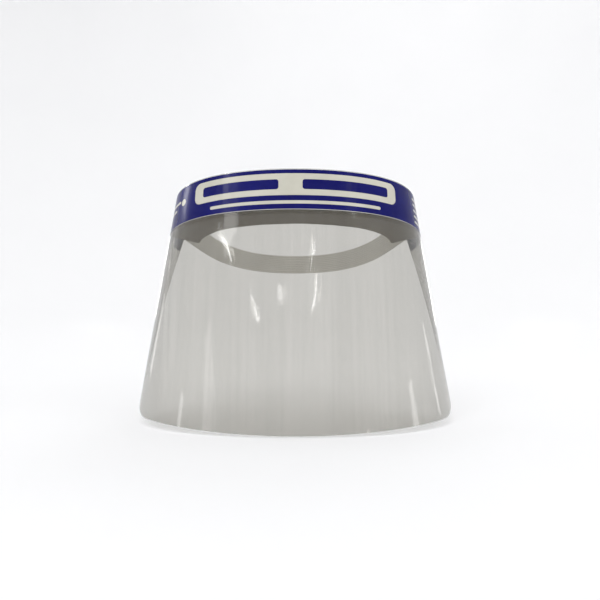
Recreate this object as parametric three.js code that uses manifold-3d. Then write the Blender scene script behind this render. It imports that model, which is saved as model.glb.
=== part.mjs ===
// Disposable face shield: a clear film bent round the face, with a printed
// band, a foam brow pad and a woven elastic head strap stapled to its ends.
// Millimetres, +Z up as worn, the wearer looks along -Y, +X is the wearer's
// left. The origin is the centre of the pad face that rests on the forehead.
import * as THREE from 'three';
import { mergeVertices } from 'three/addons/utils/BufferGeometryUtils.js';
import Module from 'manifold-3d';

// ---- driving dimensions ----
// "Across" is measured along the film from its centre line, "down" along the
// film from its top edge, and "out" square to its outer face.
const SHEET_W = 345.6;        // film width, cut flat
const SHEET_H = 220;          // film height at the centre line
const SHEET_T = 0.3;
const BOTTOM_RISE = 25;       // how far the bowed bottom edge rises ...
const BOTTOM_RISE_AT = 165;   // ... at this distance across
const BOTTOM_R = 38;          // radius of the bottom corners
const TOP_R = 5;              // radius of the top corners

// bend of the film, as curvature per 100 mm of arc, level with the top edge
const BEND_0 = 0.465;         // constant, square and fourth-power terms
const BEND_2 = 1.06;
const BEND_4 = -0.069;
const BEND_STEP = 0.25;       // arc length of one integration step
const BEND_STEPS = 1040;
const APEX_BACK = 127.35;     // apex of the cone that the film is bent to
const APEX_UP = 753.453;
const TILT = -0.078;          // the header sits a little lower at the back, rad

const BAND_TOP = 1;           // printed band
const BAND_BOTTOM = 36.7;
const BAND_SIDE = 0.6;        // clear margin at the rear edges
const INK_T = 0.3;
const GAP = 0.3;              // clearance between stacked layers

const LABEL_HALF = 91;        // white panel inside the band
const LABEL_TOP = 4.5;
const LABEL_BOTTOM = 24;
const LABEL_R = 6;

const TAPE_HALF = 126;        // double-sided adhesive strip
const TAPE_TOP = 4;
const TAPE_BOTTOM = 36;
const TAPE_T = 0.5;

const FOAM_HALF = 135;        // brow pad
const FOAM_TOP = 1.5;
const FOAM_BOTTOM = 39.5;
const FOAM_T = 26;
const FOAM_FLAT = 14;         // half width of the flat forehead facet

const STRAP_W = 20;           // woven elastic
const STRAP_T = 1.3;
const STRAP_MID = 14;         // its centre line, down the film
const STRAP_IN = 148;         // where its stapled ends start, across
const STRAP_MARGIN = 0.8;     // from the stapled ends to the film's rear edge
const STRAP_GAP = 0.4;        // clearance to the film and the staple tails
const FOLD = 14;              // length that flexes behind the film's rear edge
const FOLD_GAP = 0.4;         // clearance at each end of the strap pieces

const STAPLE_AT = { front: 154, rear: 164 };   // across
const STAPLE_CROWN = 12;
const WIRE = 0.5;
const TAIL_REACH = 2.2;       // from the staple's middle to its bent tails
const LEG_HOLE = 1.2;         // side of the square hole round a leg
const LEG_HOLE_DEPTH = 8;

const half = SHEET_W / 2;
const bandHalf = half - BAND_SIDE;
const strapTop = STRAP_MID - STRAP_W / 2;
const strapBottom = STRAP_MID + STRAP_W / 2;

// ---- the stack of layers, as distances out of the film's outer face ----
const bandInner = GAP;
const bandOuter = bandInner + INK_T;
const labelInner = bandOuter + GAP;
const labelOuter = labelInner + INK_T;
const tapeOuter = -SHEET_T - GAP;
const tapeInner = tapeOuter - TAPE_T;
const foamOuter = tapeInner - GAP;
const foamInner = foamOuter - FOAM_T;
const strapOuter = -SHEET_T - STRAP_GAP;
const strapInner = strapOuter - STRAP_T;
const crownTop = bandOuter + GAP + WIRE;
const tailTop = strapInner - STRAP_GAP;

// ---- materials ----
const materials = {
  film: { color: 0xd9dfe3, roughness: 0.05, metalness: 0, transparent: true, opacity: 0.3 },
  navy: { color: 0x20246f, roughness: 0.35, metalness: 0 },
  white: { color: 0xe6e4e0, roughness: 0.4, metalness: 0 },
  tape: { color: 0xd8d6c8, roughness: 0.7, metalness: 0 },
  foam: { color: 0xa19888, roughness: 0.95, metalness: 0 },
  elastic: { color: 0xe9e8e4, roughness: 0.9, metalness: 0 },
  steel: { color: 0xb9bcc0, roughness: 0.3, metalness: 1 },
};

const wasm = await Module();
wasm.setup();

const vec = (x, y, z) => new THREE.Vector3(x, y, z);
const sideName = (side) => (side > 0 ? 'left' : 'right');

// ---- the bent sheet ----
// The film is a flat pattern rolled on to a cone, so lengths measured in the
// film stay true.
const apex = vec(0, APEX_BACK, APEX_UP);
const curvature = (t) => BEND_0 + BEND_2 * t * t + BEND_4 * t ** 4;

// Follows the bend from the centre line. Gives the unit directions from the
// apex through it, and the angle swept in the flat pattern up to each one.
function rollCone() {
  const directions = [];
  const angles = [];
  let x = 0;
  let y = 0;
  let turn = 0;
  let swept = 0;
  for (let i = 0; i <= BEND_STEPS; i++) {
    if (i > 0) {
      const arc = (i * BEND_STEP) / 100;
      const arcBefore = ((i - 1) * BEND_STEP) / 100;
      const turnBefore = turn;
      turn += ((curvature(arc) + curvature(arcBefore)) / 2) * (arc - arcBefore);
      x += ((Math.cos(turn) + Math.cos(turnBefore)) / 2) * BEND_STEP;
      y += ((Math.sin(turn) + Math.sin(turnBefore)) / 2) * BEND_STEP;
    }
    const direction = vec(x, y, 0).sub(apex).normalize();
    if (i > 0) swept += direction.distanceTo(directions[i - 1]);
    directions.push(direction);
    angles.push(swept);
  }
  return { directions, angles };
}
const cone = rollCone();
const apexToTop = apex.length();   // down the centre line, to the top edge

// Direction from the apex at an angle in the flat pattern.
function directionAt(angle) {
  const { directions, angles } = cone;
  let low = 0;
  let high = angles.length - 1;
  while (high - low > 1) {
    const middle = (low + high) >> 1;
    if (angles[middle] <= angle) low = middle;
    else high = middle;
  }
  const t = (angle - angles[low]) / (angles[high] - angles[low]);
  return directions[low].clone().lerp(directions[high], t);
}

const tiltCos = Math.cos(TILT);
const tiltSin = Math.sin(TILT);
const tilt = ({ x, y, z }) => vec(x, y * tiltCos - z * tiltSin, y * tiltSin + z * tiltCos);

// Point on the film's outer face, before the origin is moved.
function onFilm(across, down) {
  const radius = Math.hypot(across, apexToTop + down);
  const angle = Math.atan2(Math.abs(across), apexToTop + down);
  const point = apex.clone().addScaledVector(directionAt(angle), radius);
  if (across < 0) point.x = -point.x;
  return tilt(point);
}

// The same point, with unit directions across, down and out of the film.
function frameAt(across, down) {
  const reach = 0.4;
  const slope = (a, b) => a.sub(b).normalize();
  const acrossDir = slope(onFilm(across + reach, down), onFilm(across - reach, down));
  const downDir = slope(onFilm(across, down + reach), onFilm(across, down - reach));
  const outDir = vec().crossVectors(downDir, acrossDir).normalize();
  return { point: onFilm(across, down), acrossDir, downDir, outDir };
}

function offFilm(across, down, out) {
  const { point, outDir } = frameAt(across, down);
  return point.addScaledVector(outDir, out);
}

// Centre of the pad's forehead facet, which becomes the origin.
function foreheadCentre() {
  const top = offFilm(FOAM_FLAT, FOAM_TOP, foamInner);
  const bottom = offFilm(FOAM_FLAT, FOAM_BOTTOM, foamInner);
  return vec(0, (top.y + bottom.y) / 2, (top.z + bottom.z) / 2);
}
const origin = foreheadCentre();
const place = (across, down, out) => offFilm(across, down, out).sub(origin);

// ---- building blocks ----
function clean(geometry) {
  geometry.deleteAttribute('normal');
  geometry.deleteAttribute('uv');
  return mergeVertices(geometry, 1e-5);
}

// A flat plate rolled on to the film. columns holds distances across, and
// rowsAt(across) the distances down at one of them, from top to bottom.
function plate({ columns, rowsAt, outer, inner }) {
  const columnGaps = columns.length - 1;
  const rowGaps = rowsAt(0).length - 1;
  const geometry = new THREE.BoxGeometry(1, 1, 1, columnGaps, rowGaps, 1);
  const position = geometry.attributes.position;
  for (let i = 0; i < position.count; i++) {
    const across = columns[Math.round((position.getX(i) + 0.5) * columnGaps)];
    const down = rowsAt(across)[Math.round((0.5 - position.getY(i)) * rowGaps)];
    const { x, y, z } = place(across, down, position.getZ(i) > 0 ? outer : inner);
    position.setXYZ(i, x, y, z);
  }
  return clean(geometry);
}

// The film's columns: even ones in the middle, closer ones in the rounded
// corners. Every layer draws on them, so stacked facets lie parallel.
const HALF_COLUMNS = 18;      // even columns each side of the centre line
const CORNER_COLUMNS = 8;
const NEAR = 0.25;            // a film column this close to another is dropped
const ROW = 16;               // down to a row of facets that most layers share

function makeFilmColumns() {
  const columns = [];
  const flat = half - BOTTOM_R;
  for (let i = 0; i <= 2 * HALF_COLUMNS; i++) columns.push(flat * (i / HALF_COLUMNS - 1));
  for (let i = 1; i <= CORNER_COLUMNS; i++) {
    const across = flat + BOTTOM_R * Math.sin((i / CORNER_COLUMNS) * (Math.PI / 2));
    columns.push(across);
    columns.unshift(-across);
  }
  return columns;
}
const filmColumns = makeFilmColumns();

// The film's columns that fall between two ends, with the ends and any extras.
function columnsBetween(start, end, extras = []) {
  const inside = filmColumns.filter((x) => x > start + NEAR && x < end - NEAR
    && !extras.some((extra) => Math.abs(extra - x) < NEAR));
  return [start, ...inside, ...extras, end].sort((a, b) => a - b);
}

// How far a rounded corner pulls an edge in at a distance across.
function cornerInset(across, end, radius) {
  const over = Math.abs(across) - (end - radius);
  if (over <= 0) return 0;
  return radius - Math.sqrt(Math.max(0, radius * radius - over * over));
}

function toSolid(geometry) {
  return new wasm.Manifold(new wasm.Mesh({
    numProp: 3,
    vertProperties: new Float32Array(geometry.attributes.position.array),
    triVerts: new Uint32Array(geometry.index.array),
  }));
}

function cutFrom(geometry, holes) {
  const mesh = toSolid(geometry).subtract(holes).getMesh();
  const result = new THREE.BufferGeometry();
  const points = new Float32Array(mesh.vertProperties);
  result.setAttribute('position', new THREE.BufferAttribute(points, 3));
  result.setIndex(new THREE.BufferAttribute(new Uint32Array(mesh.triVerts), 1));
  return result;
}

const root = new THREE.Group();
root.name = 'face_shield';

function add(name, geometry, material) {
  geometry.computeVertexNormals();
  const mesh = new THREE.Mesh(geometry, new THREE.MeshStandardMaterial(materials[material]));
  mesh.name = name;
  root.add(mesh);
}

// ---- where the staples stand, and the holes for their legs ----
// matrix: x across the staple's wire, y up along its crown, z out of the film
function stapleAt(side, end) {
  const { point, downDir, outDir } = frameAt(side * STAPLE_AT[end], STRAP_MID);
  const up = downDir.negate();
  const wireDir = vec().crossVectors(up, outDir);
  const matrix = new THREE.Matrix4().makeBasis(wireDir, up, outDir)
    .setPosition(point.sub(origin));
  return { side, name: `staple_${sideName(side)}_${end}`, matrix };
}
const staples = [-1, 1].flatMap((side) => ['front', 'rear'].map((end) => stapleAt(side, end)));

function legHole(staple, end) {
  const hole = new THREE.BoxGeometry(LEG_HOLE, LEG_HOLE, LEG_HOLE_DEPTH);
  hole.translate(0, end * (STAPLE_CROWN - WIRE) / 2, 0);
  hole.applyMatrix4(staple.matrix);
  return toSolid(clean(hole));
}

function legHoles(list) {
  return list.flatMap((staple) => [-1, 1].map((end) => legHole(staple, end)))
    .reduce((all, hole) => all.add(hole));
}
const allHoles = legHoles(staples);

// ---- film ----
const LOWER_ROWS_FROM = 150;  // evenly spaced rows from here to the bottom edge
const LOWER_ROWS = 5;

function filmRows(across) {
  const bottom = SHEET_H - BOTTOM_RISE * (across / BOTTOM_RISE_AT) ** 2
    - cornerInset(across, half, BOTTOM_R);
  const top = cornerInset(across, half, TOP_R);
  const rows = [top, ROW, BAND_BOTTOM, 65, 95, 125, LOWER_ROWS_FROM];
  for (let i = 1; i <= LOWER_ROWS; i++) {
    rows.push(LOWER_ROWS_FROM + ((bottom - LOWER_ROWS_FROM) * i) / LOWER_ROWS);
  }
  return rows;
}

function visorSheet() {
  const sheet = plate({ columns: filmColumns, rowsAt: filmRows, outer: 0, inner: -SHEET_T });
  return cutFrom(sheet, allHoles);
}

// ---- printed layers, on the outside of the film ----
function headerBand() {
  const band = plate({
    columns: columnsBetween(-bandHalf, bandHalf),
    rowsAt: (across) => [BAND_TOP + cornerInset(across, bandHalf, TOP_R), ROW, BAND_BOTTOM],
    outer: bandOuter,
    inner: bandInner,
  });
  return cutFrom(band, allHoles);
}

function labelPanel() {
  // extra columns, as fractions of the way through a rounded corner
  const corner = [0.25, 0.5, 0.8].map((t) => LABEL_HALF - LABEL_R * (1 - t));
  return plate({
    columns: columnsBetween(-LABEL_HALF, LABEL_HALF, [...corner, ...corner.map((x) => -x)]),
    rowsAt: (across) => {
      const inset = cornerInset(across, LABEL_HALF, LABEL_R);
      return [LABEL_TOP + inset, ROW - 2, LABEL_BOTTOM - inset];
    },
    outer: labelOuter,
    inner: labelInner,
  });
}

// ---- adhesive strip and foam brow pad, behind the film ----
function foamAdhesive() {
  return plate({
    columns: columnsBetween(-TAPE_HALF, TAPE_HALF),
    rowsAt: () => [TAPE_TOP, ROW, TAPE_BOTTOM],
    outer: tapeOuter,
    inner: tapeInner,
  });
}

function foamPad() {
  return plate({
    // no columns inside the flat facet
    columns: columnsBetween(-FOAM_HALF, FOAM_HALF, [-FOAM_FLAT, FOAM_FLAT])
      .filter((x) => Math.abs(x) > FOAM_FLAT - 0.01),
    rowsAt: () => [FOAM_TOP, FOAM_BOTTOM],
    outer: foamOuter,
    inner: foamInner,
  });
}

// ---- stapled strap ends ----
function strapEnd(side) {
  const rear = half - STRAP_MARGIN;
  const end = plate({
    columns: side > 0 ? columnsBetween(STRAP_IN, rear) : columnsBetween(-rear, -STRAP_IN),
    rowsAt: () => [strapTop, ROW, strapBottom],
    outer: strapOuter,
    inner: strapInner,
  });
  return cutFrom(end, legHoles(staples.filter((staple) => staple.side === side)));
}

// ---- free strap ----
// It leaves the film along its rear edge, turns in to the sides of the head
// and passes round its back. The curve runs from the left end to the right.
const LOOP_INSET = 0.5;       // from its start to the film's rear edge
const LOOP_STRAIGHT = 8;      // length that carries on in line with the film
const LEAN_SHARE = 0.45;      // share of the length over which the lean changes

const rearEdge = frameAt(half, STRAP_MID);

function makeStrapCurve() {
  const start = place(half - LOOP_INSET, STRAP_MID, strapOuter - STRAP_T / 2);
  const bend = start.clone().addScaledVector(rearEdge.acrossDir, LOOP_STRAIGHT);
  // x, then distances behind and below the bend
  const stations = [
    [bend.x - 9.6, 16, 7],
    [78, 41, 14],
    [62, 67, 19],
    [43.5, 89, 22],
    [23, 101.5, 23.5],
  ].map(([x, behind, below]) => vec(x, bend.y + behind, bend.z - below));
  const left = [start, bend, ...stations];
  const back = vec(0, bend.y + 106, bend.z - 24);
  const right = left.map(({ x, y, z }) => vec(-x, y, z)).reverse();
  const curve = new THREE.CatmullRomCurve3([...left, back, ...right], false, 'centripetal');
  curve.arcLengthDivisions = 2400;
  return curve;
}
const strapCurve = makeStrapCurve();
const strapLength = strapCurve.getLength();

// Width direction: along the film's rear edge at the ends, nearly upright
// against the back of the head.
const leanEnd = rearEdge.downDir.clone().negate();
const leanBack = vec(0, -0.12, 1).normalize();

function strapFrame(distance) {
  const t = distance / strapLength;
  const along = strapCurve.getTangentAt(t);
  const fromEnd = Math.min(distance, strapLength - distance);
  const blend = THREE.MathUtils.smootherstep(fromEnd, 0, strapLength * LEAN_SHARE);
  const widthDir = leanEnd.clone();
  if (distance > strapLength / 2) widthDir.x = -widthDir.x;
  widthDir.lerp(leanBack, blend);
  widthDir.addScaledVector(along, -widthDir.dot(along)).normalize();
  const outDir = vec().crossVectors(along, widthDir).normalize();
  return { point: strapCurve.getPointAt(t), widthDir, outDir };
}

function strapPiece(start, end, segments) {
  const geometry = new THREE.BoxGeometry(1, 1, 1, segments, 1, 1);
  const position = geometry.attributes.position;
  for (let i = 0; i < position.count; i++) {
    const distance = start + (end - start) * (position.getX(i) + 0.5);
    const { point, widthDir, outDir } = strapFrame(distance);
    point.addScaledVector(widthDir, position.getY(i) * STRAP_W)
      .addScaledVector(outDir, position.getZ(i) * STRAP_T);
    position.setXYZ(i, point.x, point.y, point.z);
  }
  return clean(geometry);
}

// ---- staples: crown outside the band, tails bent in behind the strap ----
function stapleWire({ matrix }) {
  const crownHalf = STAPLE_CROWN / 2;
  const legInside = crownHalf - WIRE;
  // one half of the outline: along the crown, out of the film
  const lower = [
    [-crownHalf, crownTop], [-crownHalf, tailTop - WIRE],
    [-TAIL_REACH, tailTop - WIRE], [-TAIL_REACH, tailTop],
    [-legInside, tailTop], [-legInside, crownTop - WIRE],
  ];
  const upper = lower.map(([along, out]) => [-along, out]).reverse();
  const outline = new THREE.Shape(
    [...lower, ...upper].map(([along, out]) => new THREE.Vector2(along, out)),
  );
  const wire = new THREE.ExtrudeGeometry(outline, { depth: WIRE, bevelEnabled: false });
  wire.translate(0, 0, -WIRE / 2);
  // stands the outline in the staple's y and z
  wire.applyMatrix4(new THREE.Matrix4().makeBasis(vec(0, 1, 0), vec(0, 0, 1), vec(1, 0, 0)));
  wire.applyMatrix4(matrix);
  return clean(wire);
}

// ---- assembly ----
add('visor_sheet', visorSheet(), 'film');
add('header_band', headerBand(), 'navy');
add('label_panel', labelPanel(), 'white');
add('foam_adhesive', foamAdhesive(), 'tape');
add('foam_pad', foamPad(), 'foam');
for (const side of [-1, 1]) add(`strap_end_${sideName(side)}`, strapEnd(side), 'elastic');

const foldEnd = strapLength - FOLD;
add('strap_fold_left', strapPiece(FOLD_GAP, FOLD, 4), 'elastic');
add('strap_fold_right', strapPiece(foldEnd, strapLength - FOLD_GAP, 4), 'elastic');
add('strap_loop', strapPiece(FOLD + FOLD_GAP, foldEnd - FOLD_GAP, 72), 'elastic');
for (const staple of staples) add(staple.name, stapleWire(staple), 'steel');

export default root;
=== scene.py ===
# A face shield: a curved clear film with a printed band along its top, a foam brow pad taped
# behind the band, and an elastic strap stapled to the film's two ends.
# The front faces -Y, up is +Z, and left means the wearer's left, +X.
#
# Pieces on the film are laid out in millimetres of its flat pattern: "across" runs towards +X
# from the middle, "down" runs from the top edge, and "out" is the height in front of the
# film's front face, so it is negative on the wearer's side.
import math

import bpy
import numpy as np
from mathutils import Matrix, Vector, noise


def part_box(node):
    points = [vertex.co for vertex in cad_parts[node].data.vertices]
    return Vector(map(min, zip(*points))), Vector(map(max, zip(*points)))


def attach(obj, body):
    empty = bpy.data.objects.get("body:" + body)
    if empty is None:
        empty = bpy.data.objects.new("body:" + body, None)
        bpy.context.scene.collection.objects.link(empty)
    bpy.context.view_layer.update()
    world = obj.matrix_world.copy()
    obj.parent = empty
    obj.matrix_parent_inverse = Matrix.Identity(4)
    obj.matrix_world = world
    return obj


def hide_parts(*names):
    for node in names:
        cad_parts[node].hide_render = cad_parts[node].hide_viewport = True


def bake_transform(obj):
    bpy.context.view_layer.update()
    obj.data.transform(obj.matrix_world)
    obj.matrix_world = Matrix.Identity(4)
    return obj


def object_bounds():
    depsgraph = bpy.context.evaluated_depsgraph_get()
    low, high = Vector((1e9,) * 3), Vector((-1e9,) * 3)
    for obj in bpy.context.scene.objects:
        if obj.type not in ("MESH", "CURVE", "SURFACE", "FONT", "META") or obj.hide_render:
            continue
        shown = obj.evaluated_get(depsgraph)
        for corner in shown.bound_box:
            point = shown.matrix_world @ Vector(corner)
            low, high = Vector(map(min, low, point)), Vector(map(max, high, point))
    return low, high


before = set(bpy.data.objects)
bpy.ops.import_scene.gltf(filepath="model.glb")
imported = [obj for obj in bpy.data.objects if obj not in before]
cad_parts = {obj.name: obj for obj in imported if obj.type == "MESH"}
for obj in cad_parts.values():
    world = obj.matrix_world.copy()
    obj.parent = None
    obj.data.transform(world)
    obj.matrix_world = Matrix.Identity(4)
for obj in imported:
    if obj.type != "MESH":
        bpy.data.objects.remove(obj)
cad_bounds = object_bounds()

MM = 0.001
UV_PER_MM = 0.01

# ---------------------------------------------------------------- dimensions, in millimetres
SHEET_W, SHEET_H, SHEET_T = 345.6, 220.0, 0.3
HALF = SHEET_W / 2
BOTTOM_RISE, BOTTOM_RISE_AT = 25.0, 165.0       # the bottom edge rises this much, this far across
BOTTOM_R, TOP_R = 38.0, 5.0
BEND_0, BEND_2, BEND_4 = 0.465, 1.06, -0.069    # top edge's curvature per 100 mm: even powers
APEX = np.array([0.0, 127.35, 753.453])         # of the cone, from the middle of the top edge
TILT = -0.078                                   # of the film about X, in radians

BAND_TOP, BAND_BOTTOM, BAND_SIDE = 1.0, 36.7, 0.6
LABEL_HALF, LABEL_TOP, LABEL_BOTTOM, LABEL_R = 91.0, 4.5, 24.0, 6.0
TAPE_HALF, TAPE_TOP, TAPE_BOTTOM = 126.0, 4.0, 36.0
FOAM_HALF, FOAM_TOP, FOAM_BOTTOM, FOAM_T = 135.0, 1.5, 39.5, 26.0
FOAM_GAP = 1.1                                  # film to the pad's nominal front
FOAM_FACE = -0.66                               # "out" of the pad's front as built
FOAM_BACK = -(SHEET_T + FOAM_GAP + FOAM_T)
COLUMN_STEP = 2.4                               # mesh columns of the film, band and label

STRAP_W, STRAP_T = 20.0, 1.3
STRAP_DOWN = 14.0                               # the strap's centre line on the film
STRAP_IN = 148.0                                # across, where its ends begin
STRAP_EDGE = HALF - 0.5                         # across, where it leaves the film
STRAP_LIFT = 165.0                              # across, where it starts to stand off the film
STRAP_SEAT = -1.12                              # "out" of its centre where it is stapled
STRAP_FREE = -SHEET_T - 0.4 - STRAP_T / 2       # "out" of its centre at the film's edge
STAPLE_AT, STAPLE_CROWN, WIRE = (154.0, 164.0), 12.0, 0.5


# ---------------------------------------------------------------- the film's surface
def unit(a):
    return a / np.linalg.norm(a, axis=-1, keepdims=True)


def roll_cone(step=0.25, count=1041):
    """Rays from the apex to the curved top edge, and the flat pattern's angle to each."""
    def running(values):
        return np.r_[0, np.cumsum((values[1:] + values[:-1]) / 2 * step)]

    s = np.arange(count) * step / 100
    heading = running((BEND_0 + BEND_2 * s ** 2 + BEND_4 * s ** 4) / 100)
    x, y = running(np.cos(heading)), running(np.sin(heading))
    rays = np.c_[x, y, np.zeros_like(x)] - APEX
    nearest = float(np.linalg.norm(rays[0]))
    rays = unit(rays)
    turned = np.cumsum(np.linalg.norm(np.diff(rays, axis=0), axis=1))
    return nearest, rays, np.r_[0, turned]


NEAREST, RAYS, RAY_ANGLES = roll_cone()


def on_film(across, down):
    """The film's front face, before it is moved into the frame."""
    across, down = np.broadcast_arrays(np.asarray(across, float), np.asarray(down, float))
    distance = np.hypot(across, NEAREST + down)
    angle = np.arctan2(np.abs(across), NEAREST + down)
    ray = np.stack([np.interp(angle, RAY_ANGLES, RAYS[:, i]) for i in range(3)], -1)
    p = APEX + distance[..., None] * ray
    p[..., 0] *= np.where(across < 0, -1, 1)
    c, s = math.cos(TILT), math.sin(TILT)
    y, z = p[..., 1], p[..., 2]
    return np.stack([p[..., 0], y * c - z * s, y * s + z * c], -1)


def directions_at(across, down, reach=0.4):
    """Unit vectors across, down and out of the film."""
    u = unit(on_film(across + reach, down) - on_film(across - reach, down))
    v = unit(on_film(across, down + reach) - on_film(across, down - reach))
    return u, v, unit(np.cross(v, u))


def place_raw(across, down, out):
    outward = directions_at(across, down)[2]
    return on_film(across, down) + outward * np.asarray(out)[..., None]


def corner_pull(across, end, radius):
    """How far a rounded corner draws the edge in."""
    over = np.abs(across) - (end - radius)
    return np.where(over > 0, radius - np.sqrt(np.clip(radius**2 - over**2, 0, None)), 0)


def bottom_edge(across):
    rise = BOTTOM_RISE * (across / BOTTOM_RISE_AT) ** 2
    return SHEET_H - rise - corner_pull(across, HALF, BOTTOM_R)


def rows_between(top, bottom, count):
    """Distances down for every column: count equal steps from top to bottom."""
    return top[:, None] + (bottom - top)[:, None] * np.linspace(0, 1, count + 1)


def offset_to_frame():
    """Centres the surface on the CAD film's box in Y and Z; X stays on the middle plane."""
    across = np.linspace(-HALF, HALF, 345)
    down = rows_between(corner_pull(across, HALF, TOP_R), bottom_edge(across), 59)
    points = np.concatenate([place_raw(across[:, None], down, out).reshape(-1, 3)
                             for out in (0.0, -SHEET_T)])
    low, high = (np.array(v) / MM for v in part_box("visor_sheet"))
    offset = (low + high) / 2 - (points.min(0) + points.max(0)) / 2
    offset[0] = 0.0
    return offset


OFFSET = offset_to_frame()


def place(across, down, out):
    return place_raw(across, down, out) + OFFSET


# ---------------------------------------------------------------- mesh helpers
def make_mesh(name, verts, faces, uvs=None, material_index=None):
    """verts and uvs are in millimetres, with one uv pair per vertex."""
    me = bpy.data.meshes.new(name)
    me.from_pydata((np.asarray(verts) * MM).tolist(), [], [list(map(int, f)) for f in faces])
    me.update()
    if uvs is not None:
        layer = me.uv_layers.new(name="flat")
        index = np.empty(len(me.loops), np.int32)
        me.loops.foreach_get("vertex_index", index)
        values = np.asarray(uvs, float)[index] * UV_PER_MM
        layer.data.foreach_set("uv", values.astype(np.float32).ravel())
    if material_index is not None:
        me.polygons.foreach_set("material_index", np.asarray(material_index, np.int32))
    me.polygons.foreach_set("use_smooth", np.full(len(me.polygons), True))
    me.validate()
    ob = bpy.data.objects.new(name, me)
    bpy.context.scene.collection.objects.link(ob)
    return ob


def sharp_rims(ob, degrees=40):
    """Keeps the faces smooth and the rims crisp."""
    ob.data.set_sharp_from_angle(angle=math.radians(degrees))


def slab(name, columns, down, outer, inner, bulge=0.0, mark_rim=False):
    """A closed thin sheet on the film.

    columns: n places across; down: (n, m) distances down. mark_rim gives the rim, and the
    faces next to it, the second material slot.
    """
    n, m = down.shape
    across = np.repeat(columns[:, None], m, 1)
    verts = np.concatenate([place(across, down, level + bulge).reshape(-1, 3)
                            for level in (outer, inner)])
    uv = np.stack([across, down], -1).reshape(-1, 2)
    back_from = n * m
    i, j = np.meshgrid(np.arange(n - 1), np.arange(m - 1), indexing="ij")
    q = (i * m + j).ravel()
    front = np.stack([q, q + 1, q + m + 1, q + m], -1)
    back = front[:, ::-1] + back_from
    edge = ((i == 0) | (j == 0) | (i == n - 2) | (j == m - 2)).ravel()
    loop = [k * m for k in range(n - 1)]
    loop += [(n - 1) * m + k for k in range(m - 1)]
    loop += [k * m + m - 1 for k in range(n - 1, 0, -1)]
    loop += list(range(m - 1, 0, -1))
    rims = [(a, b, b + back_from, a + back_from) for a, b in zip(loop, loop[1:] + loop[:1])]
    faces = np.concatenate([front, back, np.array(rims)])
    slots = np.concatenate([edge, edge, np.ones(len(rims), bool)]).astype(int)
    return make_mesh(name, verts, faces, np.concatenate([uv, uv]), slots if mark_rim else None)


def rounded_columns(half, radius, step, corner):
    """Columns over -half..half, even in the middle and closer in the rounded corners."""
    flat = half - radius
    count = max(2, int(round(2 * flat / step)))
    arc = flat + radius * np.sin(np.linspace(0, math.pi / 2, corner + 1)[1:])
    return np.r_[-arc[::-1], np.linspace(-flat, flat, count + 1), arc]


def rounded_bar(name, start, end, top, bottom, radius, outer, inner, step, rows, corner=8):
    """A thin printed shape with four rounded corners, from start to end across."""
    half, middle = (end - start) / 2, (start + end) / 2
    radius = min(radius, half, (bottom - top) / 2 - 0.01)
    columns = rounded_columns(half, radius, step, corner)
    pull = corner_pull(columns, half, radius)
    down = rows_between(top + pull, bottom - pull, rows)
    ob = slab(name, columns + middle, down, outer, inner)
    sharp_rims(ob)
    return ob


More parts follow.
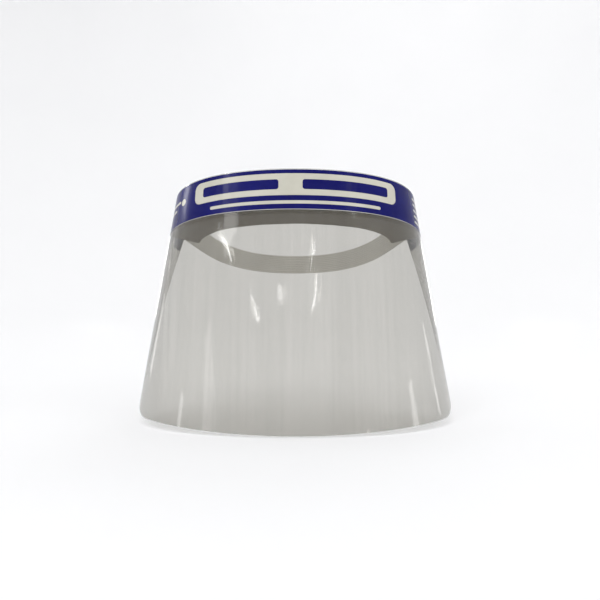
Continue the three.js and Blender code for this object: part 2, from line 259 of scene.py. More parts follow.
# ---------------------------------------------------------------- node helpers
class Nodes:
    """Builds one material; inputs take a number, a tuple or another node's output."""

    def __init__(self, name):
        self.mat = bpy.data.materials.new(name)
        self.mat.use_nodes = True
        self.tree = self.mat.node_tree
        self.tree.nodes.clear()
        self.out = self.add("ShaderNodeOutputMaterial")

    def feed(self, socket, value):
        if isinstance(value, bpy.types.NodeSocket):
            self.tree.links.new(value, socket)
        elif isinstance(value, tuple) and socket.type == "RGBA":
            socket.default_value = (*value, 1)
        else:
            socket.default_value = value

    def add(self, kind, **inputs):
        node = self.tree.nodes.new(kind)
        for key, value in inputs.items():
            self.feed(node.inputs[key.replace("_", " ")], value)
        return node

    def math(self, operation, first, second, clamp=False):
        node = self.add("ShaderNodeMath")
        node.operation, node.use_clamp = operation, clamp
        self.feed(node.inputs[0], first)
        self.feed(node.inputs[1], second)
        return node.outputs[0]

    def times(self, value, by):
        return self.math("MULTIPLY", value, by)

    def plus(self, value, add):
        return self.math("ADD", value, add)

    def mix(self, fac, a, b):
        node = self.add("ShaderNodeMix")
        node.data_type = "RGBA"
        for index, value in ((0, fac), (6, a), (7, b)):
            self.feed(node.inputs[index], value)
        return node.outputs[2]

    def mix_shader(self, fac, a, b):
        node = self.add("ShaderNodeMixShader")
        for index, value in enumerate((fac, a, b)):
            self.feed(node.inputs[index], value)
        return node.outputs[0]

    def uv(self, y_scale=1.0):
        """The flat pattern; a small y_scale draws the texture out along it."""
        source = self.add("ShaderNodeUVMap")
        source.uv_map = "flat"
        return self.add("ShaderNodeMapping", Vector=source.outputs[0],
                        Scale=(1, y_scale, 1)).outputs[0]

    def obj(self):
        source = self.add("ShaderNodeTexCoord").outputs["Object"]
        return self.add("ShaderNodeMapping", Vector=source, Scale=(1, 1, 1)).outputs[0]

    def noise(self, vector, scale, detail, rough):
        return self.add("ShaderNodeTexNoise", Scale=scale, Detail=detail, Roughness=rough,
                        Vector=vector).outputs[0]

    def ramp(self, value, start, end, at_start=0.0, at_end=1.0):
        node = self.add("ShaderNodeValToRGB", Fac=value)
        stops = ((start, at_start), (end, at_end))
        for element, (position, grey) in zip(node.color_ramp.elements, stops):
            element.position = position
            element.color = (grey, grey, grey, 1)
        return node.outputs[0]

    def bump(self, height, strength, distance, normal=None):
        node = self.add("ShaderNodeBump", Strength=strength, Distance=distance, Height=height)
        if normal is not None:
            self.feed(node.inputs["Normal"], normal)
        return node.outputs[0]

    def film_normal(self, streak, streak_strength):
        """The film's long shallow waves, with fine streaks over them."""
        wave = self.noise(self.uv(y_scale=0.12), scale=6.5, detail=2, rough=0.4)
        normal = self.bump(wave, strength=0.10, distance=0.004)
        return self.bump(streak, strength=streak_strength, distance=0.001, normal=normal)

    def principled(self, **inputs):
        return self.add("ShaderNodeBsdfPrincipled", **inputs).outputs[0]

    def finish(self, shader):
        self.feed(self.out.inputs["Surface"], shader)
        return self.mat


def srgb(*channels):
    """Linear colour from 0-255 sRGB."""
    def linear(c):
        c /= 255
        return c / 12.92 if c <= 0.04045 else ((c + 0.055) / 1.055) ** 2.4
    return tuple(linear(c) for c in channels)


# ---------------------------------------------------------------- materials
def film_material(name, plain, streaked, clouded, cut_edge=False):
    """Clear PET: see-through, with sharp reflections, faint drawn streaks and a few smudges.

    The three colours tint what is seen through it.
    """
    m = Nodes(name)
    streak = m.noise(m.uv(y_scale=0.02), scale=26, detail=4, rough=0.6)    # run down the film
    broad = m.noise(m.uv(y_scale=0.05), scale=4.0, detail=2, rough=0.5)
    smudge = m.noise(m.uv(), scale=3.2, detail=5, rough=0.62)
    scratch = m.noise(m.uv(y_scale=0.3), scale=85, detail=2, rough=0.7)
    normal = m.film_normal(streak, streak_strength=0.015)

    tint = m.mix(m.ramp(streak, start=0.35, end=0.65), plain, streaked)
    tint = m.mix(m.times(m.ramp(broad, start=0.4, end=0.7), by=0.5), tint, clouded)
    # seen edge-on the path through the film is longer, so it looks darker
    facing = m.add("ShaderNodeLayerWeight", Blend=0.5).outputs["Facing"]
    longer = m.times(m.math("POWER", facing, second=2.0), by=0.75)
    edge_on_share = 0.72
    tint = m.mix(longer, tint, tuple(c * edge_on_share for c in clouded))
    clear = m.add("ShaderNodeBsdfTransparent", Color=tint).outputs[0]

    rough = m.plus(m.times(m.ramp(smudge, start=0.48, end=0.72), by=0.10),
                   m.times(m.ramp(scratch, start=0.55, end=0.75), by=0.05))
    gloss = m.add("ShaderNodeBsdfGlossy", Color=(1, 1, 1), Roughness=m.plus(rough, add=0.035),
                  Normal=normal).outputs[0]
    # the ray isn't bent inside the thin film, so both of its faces reflect as air meeting plastic
    pet_ior = 1.5
    backfacing = m.add("ShaderNodeNewGeometry").outputs["Backfacing"]
    ior = m.math("SUBTRACT", pet_ior, m.times(backfacing, by=pet_ior - 1 / pet_ior))
    fresnel = m.add("ShaderNodeFresnel", IOR=ior, Normal=normal).outputs[0]
    body = m.mix_shader(m.math("MULTIPLY", fresnel, second=1.0, clamp=True), clear, gloss)

    haze = m.principled(Base_Color=(0.78, 0.79, 0.78), Roughness=0.45)
    if cut_edge:
        veil = m.plus(m.times(smudge, by=0.1), add=0.42)
    else:
        veil = m.plus(m.times(m.ramp(smudge, start=0.45, end=0.75), by=0.02),
                      m.times(m.ramp(streak, start=0.5, end=0.75), by=0.014))
        veil = m.plus(veil, add=0.012)
    return m.finish(m.mix_shader(veil, body, haze))


def ink_material(name, colour, light, least_rough):
    """Glossy printed ink: slightly uneven, with faint streaks from the film under it."""
    m = Nodes(name)
    cloud = m.noise(m.uv(), scale=2.2, detail=4, rough=0.6)
    grain = m.noise(m.uv(), scale=60, detail=3, rough=0.6)
    streak = m.noise(m.uv(y_scale=0.03), scale=22, detail=4, rough=0.6)
    col = m.mix(m.ramp(cloud, start=0.35, end=0.7), colour, light)
    col = m.mix(m.times(m.ramp(grain, start=0.5, end=0.7), by=0.18), col, light)
    rough = m.plus(m.times(grain, by=0.06), m.times(cloud, by=0.05))
    normal = m.film_normal(streak, streak_strength=0.02)
    return m.finish(m.principled(
        Base_Color=col, Roughness=m.plus(rough, add=least_rough), Normal=normal,
        Coat_Weight=0.10, Specular_IOR_Level=0.10, Coat_Roughness=0.06, Coat_Normal=normal))


def foam_material():
    """Open-cell foam: pores of mixed size, darkened as painted shade, in a soft skeleton of slowly
    changing colour that also carries painted shade.
    """
    m = Nodes("open_cell_foam")
    wander = m.noise(m.obj(), scale=500, detail=2, rough=0.6)
    shifted = m.add("ShaderNodeVectorMath")
    shifted.operation = "MULTIPLY_ADD"
    nudge = m.add("ShaderNodeCombineXYZ", **{axis: m.times(wander, by=0.0006) for axis in "XYZ"})
    for index, value in enumerate((m.obj(), (1, 1, 1), nudge.outputs[0])):
        m.feed(shifted.inputs[index], value)

    pore_shade_fac = None
    # cells per metre, then the distances from a cell's centre where its pore starts and ends
    for scale, start, end in ((1900, 0.10, 0.55), (1050, 0.08, 0.42), (480, 0.03, 0.20)):
        cells = m.add("ShaderNodeTexVoronoi", Scale=scale, Randomness=1.0,
                      Vector=shifted.outputs[0])
        pore = m.ramp(cells.outputs["Distance"], start=start, end=end)
        if pore_shade_fac is None:
            pore_shade_fac = pore
        else:
            pore_shade_fac = m.times(pore_shade_fac, by=m.plus(m.times(pore, by=0.8), add=0.2))
    big = m.noise(m.obj(), scale=45, detail=4, rough=0.6)
    # partly the pad's own grey-beige, partly painted shade: these tones are darker than the pad
    # itself, for the shade it sits in behind the band
    base = m.mix(m.ramp(big, start=0.3, end=0.7), srgb(114, 105, 86), srgb(132, 122, 101))
    # painted shade: the pores are mixed towards this dark brown, for the shade inside the open
    # cells
    col = m.mix(pore_shade_fac, srgb(72, 66, 53), base)
    normal = m.bump(pore_shade_fac, strength=0.55, distance=0.0006)
    normal = m.bump(big, strength=0.35, distance=0.002, normal=normal)
    return m.finish(m.principled(Base_Color=col, Roughness=0.96, Normal=normal,
                                 Sheen_Weight=0.25, Sheen_Roughness=0.6,
                                 Specular_IOR_Level=0.2))


def elastic_material():
    """Woven elastic: ribs along the band (u), fine picks across it (v), with painted shade in the
    hollows between them.
    """
    m = Nodes("woven_elastic")

    def threads(direction, period, distortion, detail):
        """Bands repeating every period millimetres; the wave node has 20 radians per unit."""
        node = m.add("ShaderNodeTexWave", Scale=2 * math.pi / (20 * period * UV_PER_MM),
                     Distortion=distortion, Detail=detail, Vector=m.uv())
        node.wave_type, node.bands_direction = "BANDS", direction
        return node.outputs[1]

    ribs = threads("Y", period=2.0, distortion=0.25, detail=1)
    picks = threads("X", period=1.5, distortion=0.6, detail=2)
    fuzz = m.noise(m.uv(), scale=240, detail=3, rough=0.7)
    cloud = m.noise(m.uv(), scale=3, detail=3, rough=0.5)
    height = m.plus(m.times(ribs, by=0.6), m.times(picks, by=0.4))
    height = m.plus(height, m.times(fuzz, by=0.35))
    base = m.mix(m.ramp(cloud, start=0.3, end=0.7), srgb(214, 212, 204), srgb(226, 224, 217))
    # painted shade: the hollows of the weave are darkened towards a grey
    hollow_shade = m.ramp(height, start=0.25, end=0.85, at_start=1.0, at_end=0.0)
    col = m.mix(m.times(hollow_shade, by=0.55), base, srgb(150, 147, 139))
    normal = m.bump(height, strength=0.6, distance=0.0004)
    return m.finish(m.principled(Base_Color=col, Roughness=0.9, Normal=normal, Sheen_Weight=0.4,
                                 Sheen_Roughness=0.5, Specular_IOR_Level=0.25))


def tape_material():
    m = Nodes("double_sided_tape")
    cloud = m.noise(m.uv(), scale=6, detail=5, rough=0.65)
    col = m.mix(m.ramp(cloud, start=0.35, end=0.7), srgb(196, 190, 168), srgb(214, 209, 190))
    return m.finish(m.principled(Base_Color=col,
                                 Roughness=m.plus(m.times(cloud, by=0.2), add=0.45),
                                 Normal=m.bump(cloud, strength=0.2, distance=0.0005)))


def steel_material():
    m = Nodes("staple_wire")
    grain = m.noise(m.obj(), scale=900, detail=3, rough=0.6)
    dark, bright = (0.42, 0.42, 0.43), (0.68, 0.68, 0.70)
    return m.finish(m.principled(Base_Color=m.mix(m.ramp(grain, start=0.3, end=0.75), dark, bright),
                                 Metallic=1.0,
                                 Roughness=m.plus(m.times(grain, by=0.2), add=0.2),
                                 Normal=m.bump(grain, strength=0.15, distance=0.0001)))


MAT_FILM = film_material("clear_film", plain=(0.752, 0.744, 0.720),
                         streaked=(0.778, 0.770, 0.746), clouded=(0.724, 0.716, 0.692))
MAT_EDGE = film_material("cut_film_edge", plain=(0.90, 0.91, 0.90),
                         streaked=(0.93, 0.94, 0.93), clouded=(0.9, 0.9, 0.9), cut_edge=True)
MAT_NAVY = ink_material("navy_ink", srgb(10, 12, 86), srgb(17, 20, 101), least_rough=0.17)
MAT_WHITE = ink_material("white_ink", srgb(194, 192, 179), srgb(206, 203, 191), least_rough=0.2)
MAT_FOAM = foam_material()
MAT_ELASTIC = elastic_material()
MAT_TAPE = tape_material()
MAT_STEEL = steel_material()


def dress(ob, slot_name, *materials, replaces=()):
    """Gives a piece of the visor its materials and tells the frame about it."""
    for material in materials:
        ob.data.materials.append(material)
    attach(ob, "visor")
    if replaces:
        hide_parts(*replaces)


# ---------------------------------------------------------------- film
def film_waves(across, down):
    """Below the pad the film has shallow long waves, a fraction of a millimetre high."""
    start, fade = 45, 120
    k = np.clip((down - start) / fade, 0, 1)
    k = k * k * (3 - 2 * k)
    long_wave = 0.45 * np.sin(across / 31.0 + 0.7) * np.sin(down / 70.0 + 0.4)
    short_wave = 0.25 * np.sin(across / 17.0 + down / 55.0)
    return k * (long_wave + short_wave)


def build_film():
    side_inset, end_inset = 0.7, 0.75     # width of the cut-edge faces round the film
    columns = rounded_columns(HALF, BOTTOM_R, COLUMN_STEP, 18)
    columns = np.unique(np.round(np.r_[columns, -HALF + side_inset, HALF - side_inset], 4))
    top, bottom = corner_pull(columns, HALF, TOP_R), bottom_edge(columns)
    down = np.column_stack([top, rows_between(top + end_inset, bottom - end_inset, 52), bottom])
    film = slab("visor_sheet_film", columns, down, 0.0, -SHEET_T,
                bulge=film_waves(columns[:, None], down), mark_rim=True)
    sharp_rims(film, 50)
    dress(film, "clear_film", MAT_FILM, MAT_EDGE, replaces=("visor_sheet",))


build_film()

# ---------------------------------------------------------------- printed layers
# "out" of each layer's outer and inner face
BAND_LEVELS, LABEL_LEVELS = (0.10, 0.06), (0.15, 0.115)
ON_BAND, ON_LABEL = (0.14, 0.115), (0.195, 0.165)

# name, (start and end across, top, bottom, corner radius), levels, slot, ink
MARKS = [
    ("title_bar_left", (6.0, 82.0, 9.8, 18.7, 2.2), ON_LABEL, "navy_ink", MAT_NAVY),
    ("title_bar_right", (-82.0, -14.0, 9.8, 18.7, 2.2), ON_LABEL, "navy_ink", MAT_NAVY),
    ("caption_bar", (-74.0, 74.0, 28.7, 31.6, 1.4), ON_BAND, "white_ink", MAT_WHITE),
    # a thin white line along the band's lower edge: a painted highlight, where that edge catches
    # the light, not print
    ("band_lower_edge_highlight", (-172.0, 172.0, 36.15, 36.6, 0.2), ON_BAND, "white_ink", MAT_WHITE),
]
# stacks of bars: side, start across, first top, pitch, height, corner radius, lengths
SIDE_MARKS = (
    ("left", 119.0, 6.4, 5.7, 2.2, 0.9, (24.0, 20.0, 25.0, 17.0, 22.0)),
    ("right", -138.0, 13.0, 6.2, 2.4, 1.0, (26.0, 19.0)),
)
DISC_ACROSS, DISC_DOWN, DISC_R = -107.0, 16.0, 3.2


def build_band():
    half = HALF - BAND_SIDE
    columns = rounded_columns(half, TOP_R, COLUMN_STEP, 8)
    down = rows_between(BAND_TOP + corner_pull(columns, half, TOP_R), BAND_BOTTOM, 12)
    band = slab("header_band_print", columns, down, *BAND_LEVELS)
    sharp_rims(band)
    dress(band, "navy_ink", MAT_NAVY, replaces=("header_band",))


def build_label():
    label = rounded_bar("label_panel_print", -LABEL_HALF, LABEL_HALF, LABEL_TOP, LABEL_BOTTOM,
                        LABEL_R, *LABEL_LEVELS, step=COLUMN_STEP, rows=8, corner=10)
    dress(label, "white_ink", MAT_WHITE, replaces=("label_panel",))


def build_marks():
    marks = list(MARKS)
    for side, start, first_top, pitch, height, radius, lengths in SIDE_MARKS:
        for k, length in enumerate(lengths):
            top = first_top + pitch * k
            marks.append((f"side_mark_{side}_{k + 1}",
                          (start, start + length, top, top + height, radius),
                          ON_BAND, "white_ink", MAT_WHITE))
    for name, shape, levels, slot_name, ink in marks:
        dress(rounded_bar(name, *shape, *levels, step=1.5, rows=4), slot_name, ink)
    disc = rounded_bar("side_mark_right_disc", DISC_ACROSS - DISC_R, DISC_ACROSS + DISC_R,
                       DISC_DOWN - DISC_R, DISC_DOWN + DISC_R, DISC_R, *ON_BAND, step=1.0, rows=6)
    dress(disc, "white_ink", MAT_WHITE)


build_band()
build_label()
build_marks()


# ---------------------------------------------------------------- adhesive strip
def build_tape():
    columns = np.linspace(-TAPE_HALF, TAPE_HALF, 106)
    down = rows_between(np.full(len(columns), TAPE_TOP), TAPE_BOTTOM, 6)
    tape = slab("foam_adhesive_tape", columns, down, outer=-0.34, inner=-0.62)
    sharp_rims(tape)
    dress(tape, "adhesive_tape", MAT_TAPE, replaces=("foam_adhesive",))


build_tape()


# ---------------------------------------------------------------- foam pad
def box_grid(low, high, counts):
    """The outside of a box in (across, down, out), divided into counts cells each way."""
    axes = [np.linspace(low[k], high[k], counts[k] + 1) for k in range(3)]
    index, verts, faces = {}, [], []
    for fixed, (u, v) in ((0, (1, 2)), (1, (2, 0)), (2, (0, 1))):
        for side in (0, counts[fixed]):
            for a in range(counts[u]):
                for b in range(counts[v]):
                    quad = []
                    for da, db in ((0, 0), (1, 0), (1, 1), (0, 1)):
                        cell = [0, 0, 0]
                        cell[fixed], cell[u], cell[v] = side, a + da, b + db
                        key = tuple(cell)
                        if key not in index:
                            index[key] = len(verts)
                            verts.append([axes[k][key[k]] for k in range(3)])
                        quad.append(index[key])
                    # (across, down, out) is left-handed, so the winding is turned round
                    faces.append(quad if side == 0 else quad[::-1])
    return np.array(verts), faces


def build_foam():
    low = np.array([-FOAM_HALF, FOAM_TOP, FOAM_BACK])
    high = np.array([FOAM_HALF, FOAM_BOTTOM, FOAM_FACE])
    edge_r = 1.6
    p, faces = box_grid(low, high, (170, 27, 19))
    core = np.clip(p, low + edge_r, high - edge_r)
    off = p - core
    length = np.linalg.norm(off, axis=1, keepdims=True)
    direction = off / np.where(length > 0, length, 1)
    p = core + direction * edge_r

    # the cut faces wander a little, except where the pad meets the tape
    slow = np.array([noise.noise(Vector((x * 0.035, y * 0.06, z * 0.06))) for x, y, z in p])
    fine = np.array([noise.noise(Vector((x * 0.55, y * 0.55, z * 0.55 + 9.0))) for x, y, z in p])
    settle = 4.0      # distance behind the front over which the wander comes in
    away = np.clip((high[2] - p[:, 2]) / settle, 0, 1)
    p = p + direction * ((0.35 * slow + 0.22 * fine) * away)[:, None]

    # the worn face is pressed slightly hollow across its height
    hollow, fade = 0.5, 6.0
    near_back = np.clip(1.0 - (p[:, 2] - low[2]) / fade, 0, 1)
    from_middle = (p[:, 1] - (FOAM_TOP + FOAM_BOTTOM) / 2) / ((FOAM_BOTTOM - FOAM_TOP) / 2)
    p[:, 2] += hollow * near_back * np.clip(1 - from_middle ** 2, 0, 1)

    foam = make_mesh("foam_brow_pad", place(p[:, 0], p[:, 1], p[:, 2]), faces, p[:, :2])
    dress(foam, "foam", MAT_FOAM, replaces=("foam_pad",))


build_foam()


# ---------------------------------------------------------------- elastic strap
def catmull_rom(points, t):
    """Centripetal curve through all the points, t from 0 to 1."""
    spans = len(points) - 1
    i = min(int(spans * t), spans - 1)
    w = spans * t - i
    ring = [2 * points[0] - points[1], *points, 2 * points[-1] - points[-2]]
    p0, p1, p2, p3 = ring[i:i + 4]
    d0, d1, d2 = (float(((b - a) ** 2).sum()) ** 0.25 for a, b in ((p0, p1), (p1, p2), (p2, p3)))
    t1 = ((p1 - p0) / d0 - (p2 - p0) / (d0 + d1) + (p2 - p1) / d1) * d1
    t2 = ((p2 - p1) / d1 - (p3 - p1) / (d1 + d2) + (p3 - p2) / d2) * d1
    c2 = -3 * p1 + 3 * p2 - 2 * t1 - t2
    c3 = 2 * p1 - 2 * p2 + t1 + t2
    return p1 + t1 * w + c2 * w * w + c3 * w * w * w


edge_across, edge_down, _ = directions_at(HALF, STRAP_DOWN)
leave = place(STRAP_EDGE, STRAP_DOWN, STRAP_FREE)
clear_of_film = leave + edge_across * 8
# the left half of the free strap: x, then y and z from the point clear of the film
LOOP_POINTS = (
    (clear_of_film[0] - 9.6, 16, -7),
    (78.0, 41, -14),
    (62.0, 67, -19),
    (43.5, 89, -22),
    (23.0, 101.5, -23.5),
    (0.0, 106, -24),
)
points = [leave, clear_of_film]
points += [np.array([x, clear_of_film[1] + y, clear_of_film[2] + z]) for x, y, z in LOOP_POINTS]
points += [q * np.array([-1, 1, 1]) for q in points[-2::-1]]
samples = np.array([catmull_rom(points, t) for t in np.linspace(0, 1, 2401)])
arc = np.r_[0, np.cumsum(np.linalg.norm(np.diff(samples, axis=0), axis=1))]
LENGTH = float(arc[-1])


def curve_point(s):
    return np.array([np.interp(s, arc, samples[:, i]) for i in range(3)])


def smoother(x):
    x = min(max(x, 0.0), 1.0)
    return x * x * x * (x * (x * 6 - 15) + 10)


# A station is the distance along from the film's left edge, the centre, the width direction,
# the outward direction, and the distance across the film, or None where the strap is free.
def free_station(s):
    reach = 0.6
    along = unit(curve_point(min(s + reach, LENGTH)) - curve_point(max(s - reach, 0)))
    upright = smoother(min(s, LENGTH - s) / (LENGTH * 0.45))
    lean = -edge_down
    if s > LENGTH / 2:
        lean[0] = -lean[0]
    width_dir = lean * (1 - upright) + unit(np.array([0, -0.12, 1.0])) * upright
    width_dir = unit(width_dir - along * float(width_dir @ along))
    return s, curve_point(s), width_dir, unit(np.cross(along, width_dir)), None


def film_station(side, across):
    ease = smoother((across - STRAP_LIFT) / (STRAP_EDGE - STRAP_LIFT))
    out = STRAP_SEAT + (STRAP_FREE - STRAP_SEAT) * ease
    _, down_dir, outward = directions_at(side * across, STRAP_DOWN)
    inside = STRAP_EDGE - across
    s = -inside if side > 0 else LENGTH + inside
    return s, place(side * across, STRAP_DOWN, out), -down_dir, outward, across


def strap_mesh():
    under = np.arange(STRAP_IN, STRAP_EDGE, 0.8)
    stations = [film_station(1, a) for a in under]
    stations += [free_station(s) for s in np.linspace(0, LENGTH, int(LENGTH / 0.9))]
    stations += [film_station(-1, a) for a in under[::-1]]

    # half thickness over the width: ribs, a slight bead near each edge, and thinned edges
    width = np.linspace(-1, 1, 61)
    rib_h, rib_pitch, bead_h = 0.07, 1.0, 0.06
    ribs = rib_h * np.cos(width * STRAP_W / 2 * 2 * math.pi / rib_pitch)
    bead = bead_h * np.exp(-((np.abs(width) - 0.92) / 0.03) ** 2)
    edge = np.sqrt(np.clip(1 - np.clip((np.abs(width) - 0.955) / 0.045, 0, 1) ** 2, 0, 1))
    half_t = (STRAP_T / 2 - 0.09 + ribs + bead) * (0.25 + 0.75 * edge)

    uv_shift = 12.0
    m = len(width)
    verts, uvs = [], []
    for s, centre, width_dir, outward, across in stations:
        crimp = 1 + 0.004 * math.sin(s * 1.9) if across is None else 1
        x = width * STRAP_W / 2 * crimp
        for side in (1, -1):
            level = half_t * side
            if across is not None and side < 0:
                # the clinched staple ends press into the weave
                dent = sum(0.38 * math.exp(-((across - at) / 0.9) ** 2) for at in STAPLE_AT)
                level = level + np.where((np.abs(x) > 1.6) & (np.abs(x) < 6.4), dent, 0.0)
            verts.append(centre + width_dir * x[:, None] + outward * level[:, None])
            uvs.append(np.c_[np.full(m, s), x + uv_shift])

    faces = []
    for i in range(len(stations) - 1):
        a, b = i * 2 * m, (i + 1) * 2 * m
        for k in range(m - 1):
            faces.append((a + k, b + k, b + k + 1, a + k + 1))
            faces.append((a + m + k, a + m + k + 1, b + m + k + 1, b + m + k))
        faces.append((a, a + m, b + m, b))
        faces.append((a + m - 1, b + m - 1, b + 2 * m - 1, a + 2 * m - 1))
    last = (len(stations) - 1) * 2 * m
    for k in range(m - 1):
        faces.append((k, k + 1, m + k + 1, m + k))
        faces.append((last + k + 1, last + k, last + m + k, last + m + k + 1))
    return make_mesh("elastic_head_strap", np.concatenate(verts), faces, np.concatenate(uvs))


def build_strap():
    strap = strap_mesh()
    strap.data.materials.append(MAT_ELASTIC)
    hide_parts("strap_loop", "strap_end_left", "strap_end_right",
                "strap_fold_left", "strap_fold_right")
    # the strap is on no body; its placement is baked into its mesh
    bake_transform(strap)


build_strap()


# ---------------------------------------------------------------- staples
def wire(name, path, radius, sides=10):
    """A round wire along a polyline, with its ends closed."""
    verts, faces = [], []
    across = np.array([0.3, 0.2, 0.9])
    across = np.cross(unit(path[1] - path[0]), across)
    for i, p in enumerate(path):
        along = unit(path[min(i + 1, len(path) - 1)] - path[max(i - 1, 0)])
        across = unit(across - along * float(across @ along))
        other = np.cross(along, across)
        for k in range(sides):
            angle = 2 * math.pi * k / sides
            verts.append(p + radius * (math.cos(angle) * across + math.sin(angle) * other))
    for i in range(len(path) - 1):
        for k in range(sides):
            a, b = i * sides + k, i * sides + (k + 1) % sides
            faces.append((a, b, b + sides, a + sides))
    faces.append(tuple(range(sides))[::-1])
    faces.append(tuple((len(path) - 1) * sides + k for k in range(sides)))
    return make_mesh(name, verts, faces)


def staple(name, across):
    """The crown stands upright in front of the film; the legs are clinched behind the strap."""
    base = place(across, STRAP_DOWN, 0.0)
    _, down_dir, outward = directions_at(across, STRAP_DOWN)
    half = STAPLE_CROWN / 2 - WIRE / 2
    crown, clinch = 0.11 + WIRE / 2, STRAP_SEAT - STRAP_T / 2 - 0.02
    tip_up, tip_out, bend = 2.0, clinch + 0.05, 0.55
    # up and out of each corner
    corners = np.array([(tip_up, tip_out), (half, clinch), (half, crown),
                        (-half, crown), (-half, clinch), (-tip_up, tip_out)])
    line = [corners[0]]
    for before, corner, after in zip(corners, corners[1:], corners[2:]):
        enter = corner + unit(before - corner) * bend
        leave_at = corner + unit(after - corner) * bend
        for t in np.linspace(0, 1, 6):
            line.append((1 - t) ** 2 * enter + 2 * t * (1 - t) * corner + t * t * leave_at)
    line.append(corners[-1])
    return wire(name, [base - down_dir * up + outward * out for up, out in line], WIRE / 2)


for side, word in ((1, "left"), (-1, "right")):
    for at, where in zip(STAPLE_AT, ("front", "rear")):
        ob = staple(f"staple_wire_{word}_{where}", side * at)
        sharp_rims(ob, 60)
        dress(ob, "staple_wire", MAT_STEEL, replaces=(f"staple_{word}_{where}",))


# ---------------------------------------------------------------- stage, in metres
def stage_material(name, colour):
    m = Nodes(name)
    cloud = m.noise(m.obj(), scale=3.0, detail=3, rough=0.5)
    shade = 0.985
    col = m.mix(m.ramp(cloud, start=0.3, end=0.7), colour, tuple(c * shade for c in colour))
    return m.finish(m.principled(Base_Color=col, Roughness=0.9, Specular_IOR_Level=0.2,
                                 Emission_Color=col, Emission_Strength=0.17))


def backdrop():
    """A seamless sheet: level under the object, curving up gently all round it."""
    floor_z = float(cad_bounds[0][2]) - 0.0006
    flat_r, wall_r, wall_h, centre_y = 0.75, 2.9, 3.2, 0.03
    sweep = wall_r - flat_r
    profile = [(flat_r + sweep * math.sin(t), sweep * (1 - math.cos(t)))
               for t in np.linspace(0, math.pi / 2, 40)]
    profile.append((wall_r, wall_h))
    seg = 96
    verts = [(0, 0, floor_z)]
    for r, z in profile:
        for k in range(seg):
            a = 2 * math.pi * k / seg
            verts.append((r * math.cos(a), r * math.sin(a) + centre_y, floor_z + z))
    faces = [(0, 1 + k, 1 + (k + 1) % seg) for k in range(seg)]
    for i in range(len(profile) - 1):
        for k in range(seg):
            a, b = 1 + i * seg + k, 1 + i * seg + (k + 1) % seg
            faces.append((a, a + seg, b + seg, b))
    ob = make_mesh("stage_floor", np.array(verts) / MM, faces)
    ob.data.materials.append(stage_material("stage_pale", (0.86, 0.86, 0.865)))
    return ob


backdrop()

world = bpy.data.worlds.new("studio")
bpy.context.scene.world = world
world.use_nodes = True
background = world.node_tree.nodes["Background"]
background.inputs["Color"].default_value = (0.97, 0.98, 1.0, 1)
background.inputs["Strength"].default_value = 0.34


# ---------------------------------------------------------------- lights, in metres and watts
# Here left and right are the camera's: left is -X.
def rectangle_light(name, size, size_y, energy):
    data = bpy.data.lights.new(name, "AREA")
    data.shape = "RECTANGLE"
    data.size, data.size_y = size, size_y
    data.energy = energy
    ob = bpy.data.objects.new(name, data)
    bpy.context.scene.collection.objects.link(ob)
    ob.visible_camera = False
    return ob


def area(name, at, look, size, power):
    """A large soft light. It lights the object, and isn't mirrored in the film."""
    ob = rectangle_light(name, *size, power)
    ob.location = at
    ob.rotation_euler = (Vector(look) - Vector(at)).to_track_quat("-Z", "Y").to_euler()
    ob.visible_glossy = False


def reflector(name, start, end, width, radiance):
    """A strip between two points, there only to be mirrored, as a room's lamps and windows."""
    start, end = Vector(start), Vector(end)
    middle = (start + end) / 2
    z = (middle - Vector((0, -0.06, -0.05))).normalized()
    x = end - start
    length = x.length
    x = (x - z * x.dot(z)).normalized()
    y = z.cross(x)
    ob = rectangle_light(name, length, width, radiance * math.pi * length * width)
    ob.matrix_world = Matrix.Translation(middle) @ Matrix((x, y, z)).transposed().to_4x4()
    ob.visible_diffuse = False


# name, place, aimed at, size, power
AREAS = (
    ("key", (-1.0, -1.7, 1.9), (0, 0, -0.06), (1.5, 1.5), 15),
    ("fill", (1.7, -1.2, 1.1), (0, 0, -0.06), (1.4, 1.2), 7),
    ("top", (0.0, 0.2, 2.3), (0, 0, -0.05), (2.2, 2.0), 13),
    ("back", (0.5, 2.3, 2.4), (0, 0, -0.05), (1.6, 1.2), 12),
)
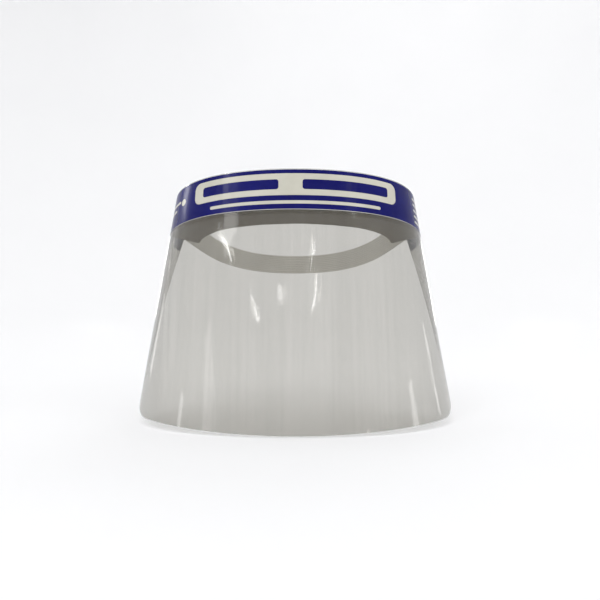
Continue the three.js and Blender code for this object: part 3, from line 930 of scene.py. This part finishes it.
# name, one end, other end, width, radiance
REFLECTORS = (
    ("lamp_left_long", (-1.393, -0.981, 0.938), (-1.059, -1.349, 0.878), 0.020, 14),
    ("lamp_front_a", (0.300, -1.587, 1.030), (0.207, -1.661, 0.918), 0.016, 12),
    ("lamp_front_b", (0.368, -1.636, 0.916), (0.293, -1.722, 0.769), 0.022, 12),
    ("lamp_front_c", (-0.765, -1.568, 0.793), (-0.634, -1.647, 0.739), 0.022, 9),
    ("lamp_front_d", (-0.305, -1.683, 0.848), (-0.196, -1.697, 0.848), 0.060, 5),
    ("window_left", (-1.211, -1.014, 1.200), (-1.134, -1.255, 0.934), 0.30, 2.2),
    ("window_right", (0.994, -1.186, 1.240), (0.958, -1.297, 1.069), 0.16, 2.0),
    ("doorway_left_a", (-0.97, 0.78, 0.20), (-1.27, -0.12, 0.04), 0.05, 0.4),
    ("doorway_left_b", (-0.90, 0.80, 0.30), (-1.24, -0.20, 0.14), 0.09, 0.3),
    ("shelf_left", (-1.326, -1.002, 0.522), (-1.199, -1.264, 0.229), 0.13, 1.1),
    ("shelf_left_thin", (-1.236, -1.112, 0.522), (-1.109, -1.374, 0.229), 0.03, 1.2),
    ("window_side", (-1.330, 0.689, 0.610), (-1.440, 0.430, 0.610), 0.17, 9.0),
    ("window_left_high", (-1.130, -0.760, 0.995), (-1.075, -0.870, 0.905), 0.17, 7.0),
)
# low windows round the room, for the views from the sides and the back:
# degrees from the front towards +X, width, radiance
LOW_WINDOWS = (
    (14, 0.14, 4.5), (33, 0.03, 5.0), (72, 0.10, 2.6), (104, 0.05, 2.6), (-24, 0.12, 4.0),
    (-66, 0.06, 2.6), (150, 0.12, 4.0), (205, 0.08, 4.0), (238, 0.12, 1.2),
)
ROOM_R, LOW_WINDOW_BOTTOM, LOW_WINDOW_TOP = 1.25, -0.10, 0.13

for row in AREAS:
    area(*row)
for row in REFLECTORS:
    reflector(*row)
for azimuth, width, radiance in LOW_WINDOWS:
    angle = math.radians(azimuth)
    x, y = ROOM_R * math.sin(angle), -ROOM_R * math.cos(angle)
    reflector(f"low_window_{azimuth % 360}", (x, y, LOW_WINDOW_BOTTOM), (x, y, LOW_WINDOW_TOP),
              width, radiance)

# ---------------------------------------------------------------- camera
CAMERA_AT = np.array([0.0, -530.0, -110.498])     # from the middle of the film's top edge, in mm
cam_data = bpy.data.cameras.new("camera")
cam = bpy.data.objects.new("camera", cam_data)
bpy.context.scene.collection.objects.link(cam)
cam_data.sensor_width = 36.0
cam_data.sensor_fit = "HORIZONTAL"
cam_data.lens = 38.0526
cam_data.shift_x = 0.0078333333
cam_data.shift_y = 0.00083333333
cam_data.clip_start = 0.01
cam.location = (CAMERA_AT + OFFSET) * MM
cam.rotation_euler = (math.pi / 2, 0, 0)
bpy.context.scene.camera = cam
bpy.context.scene.view_settings.view_transform = "Standard"

bpy.context.view_layer.update()
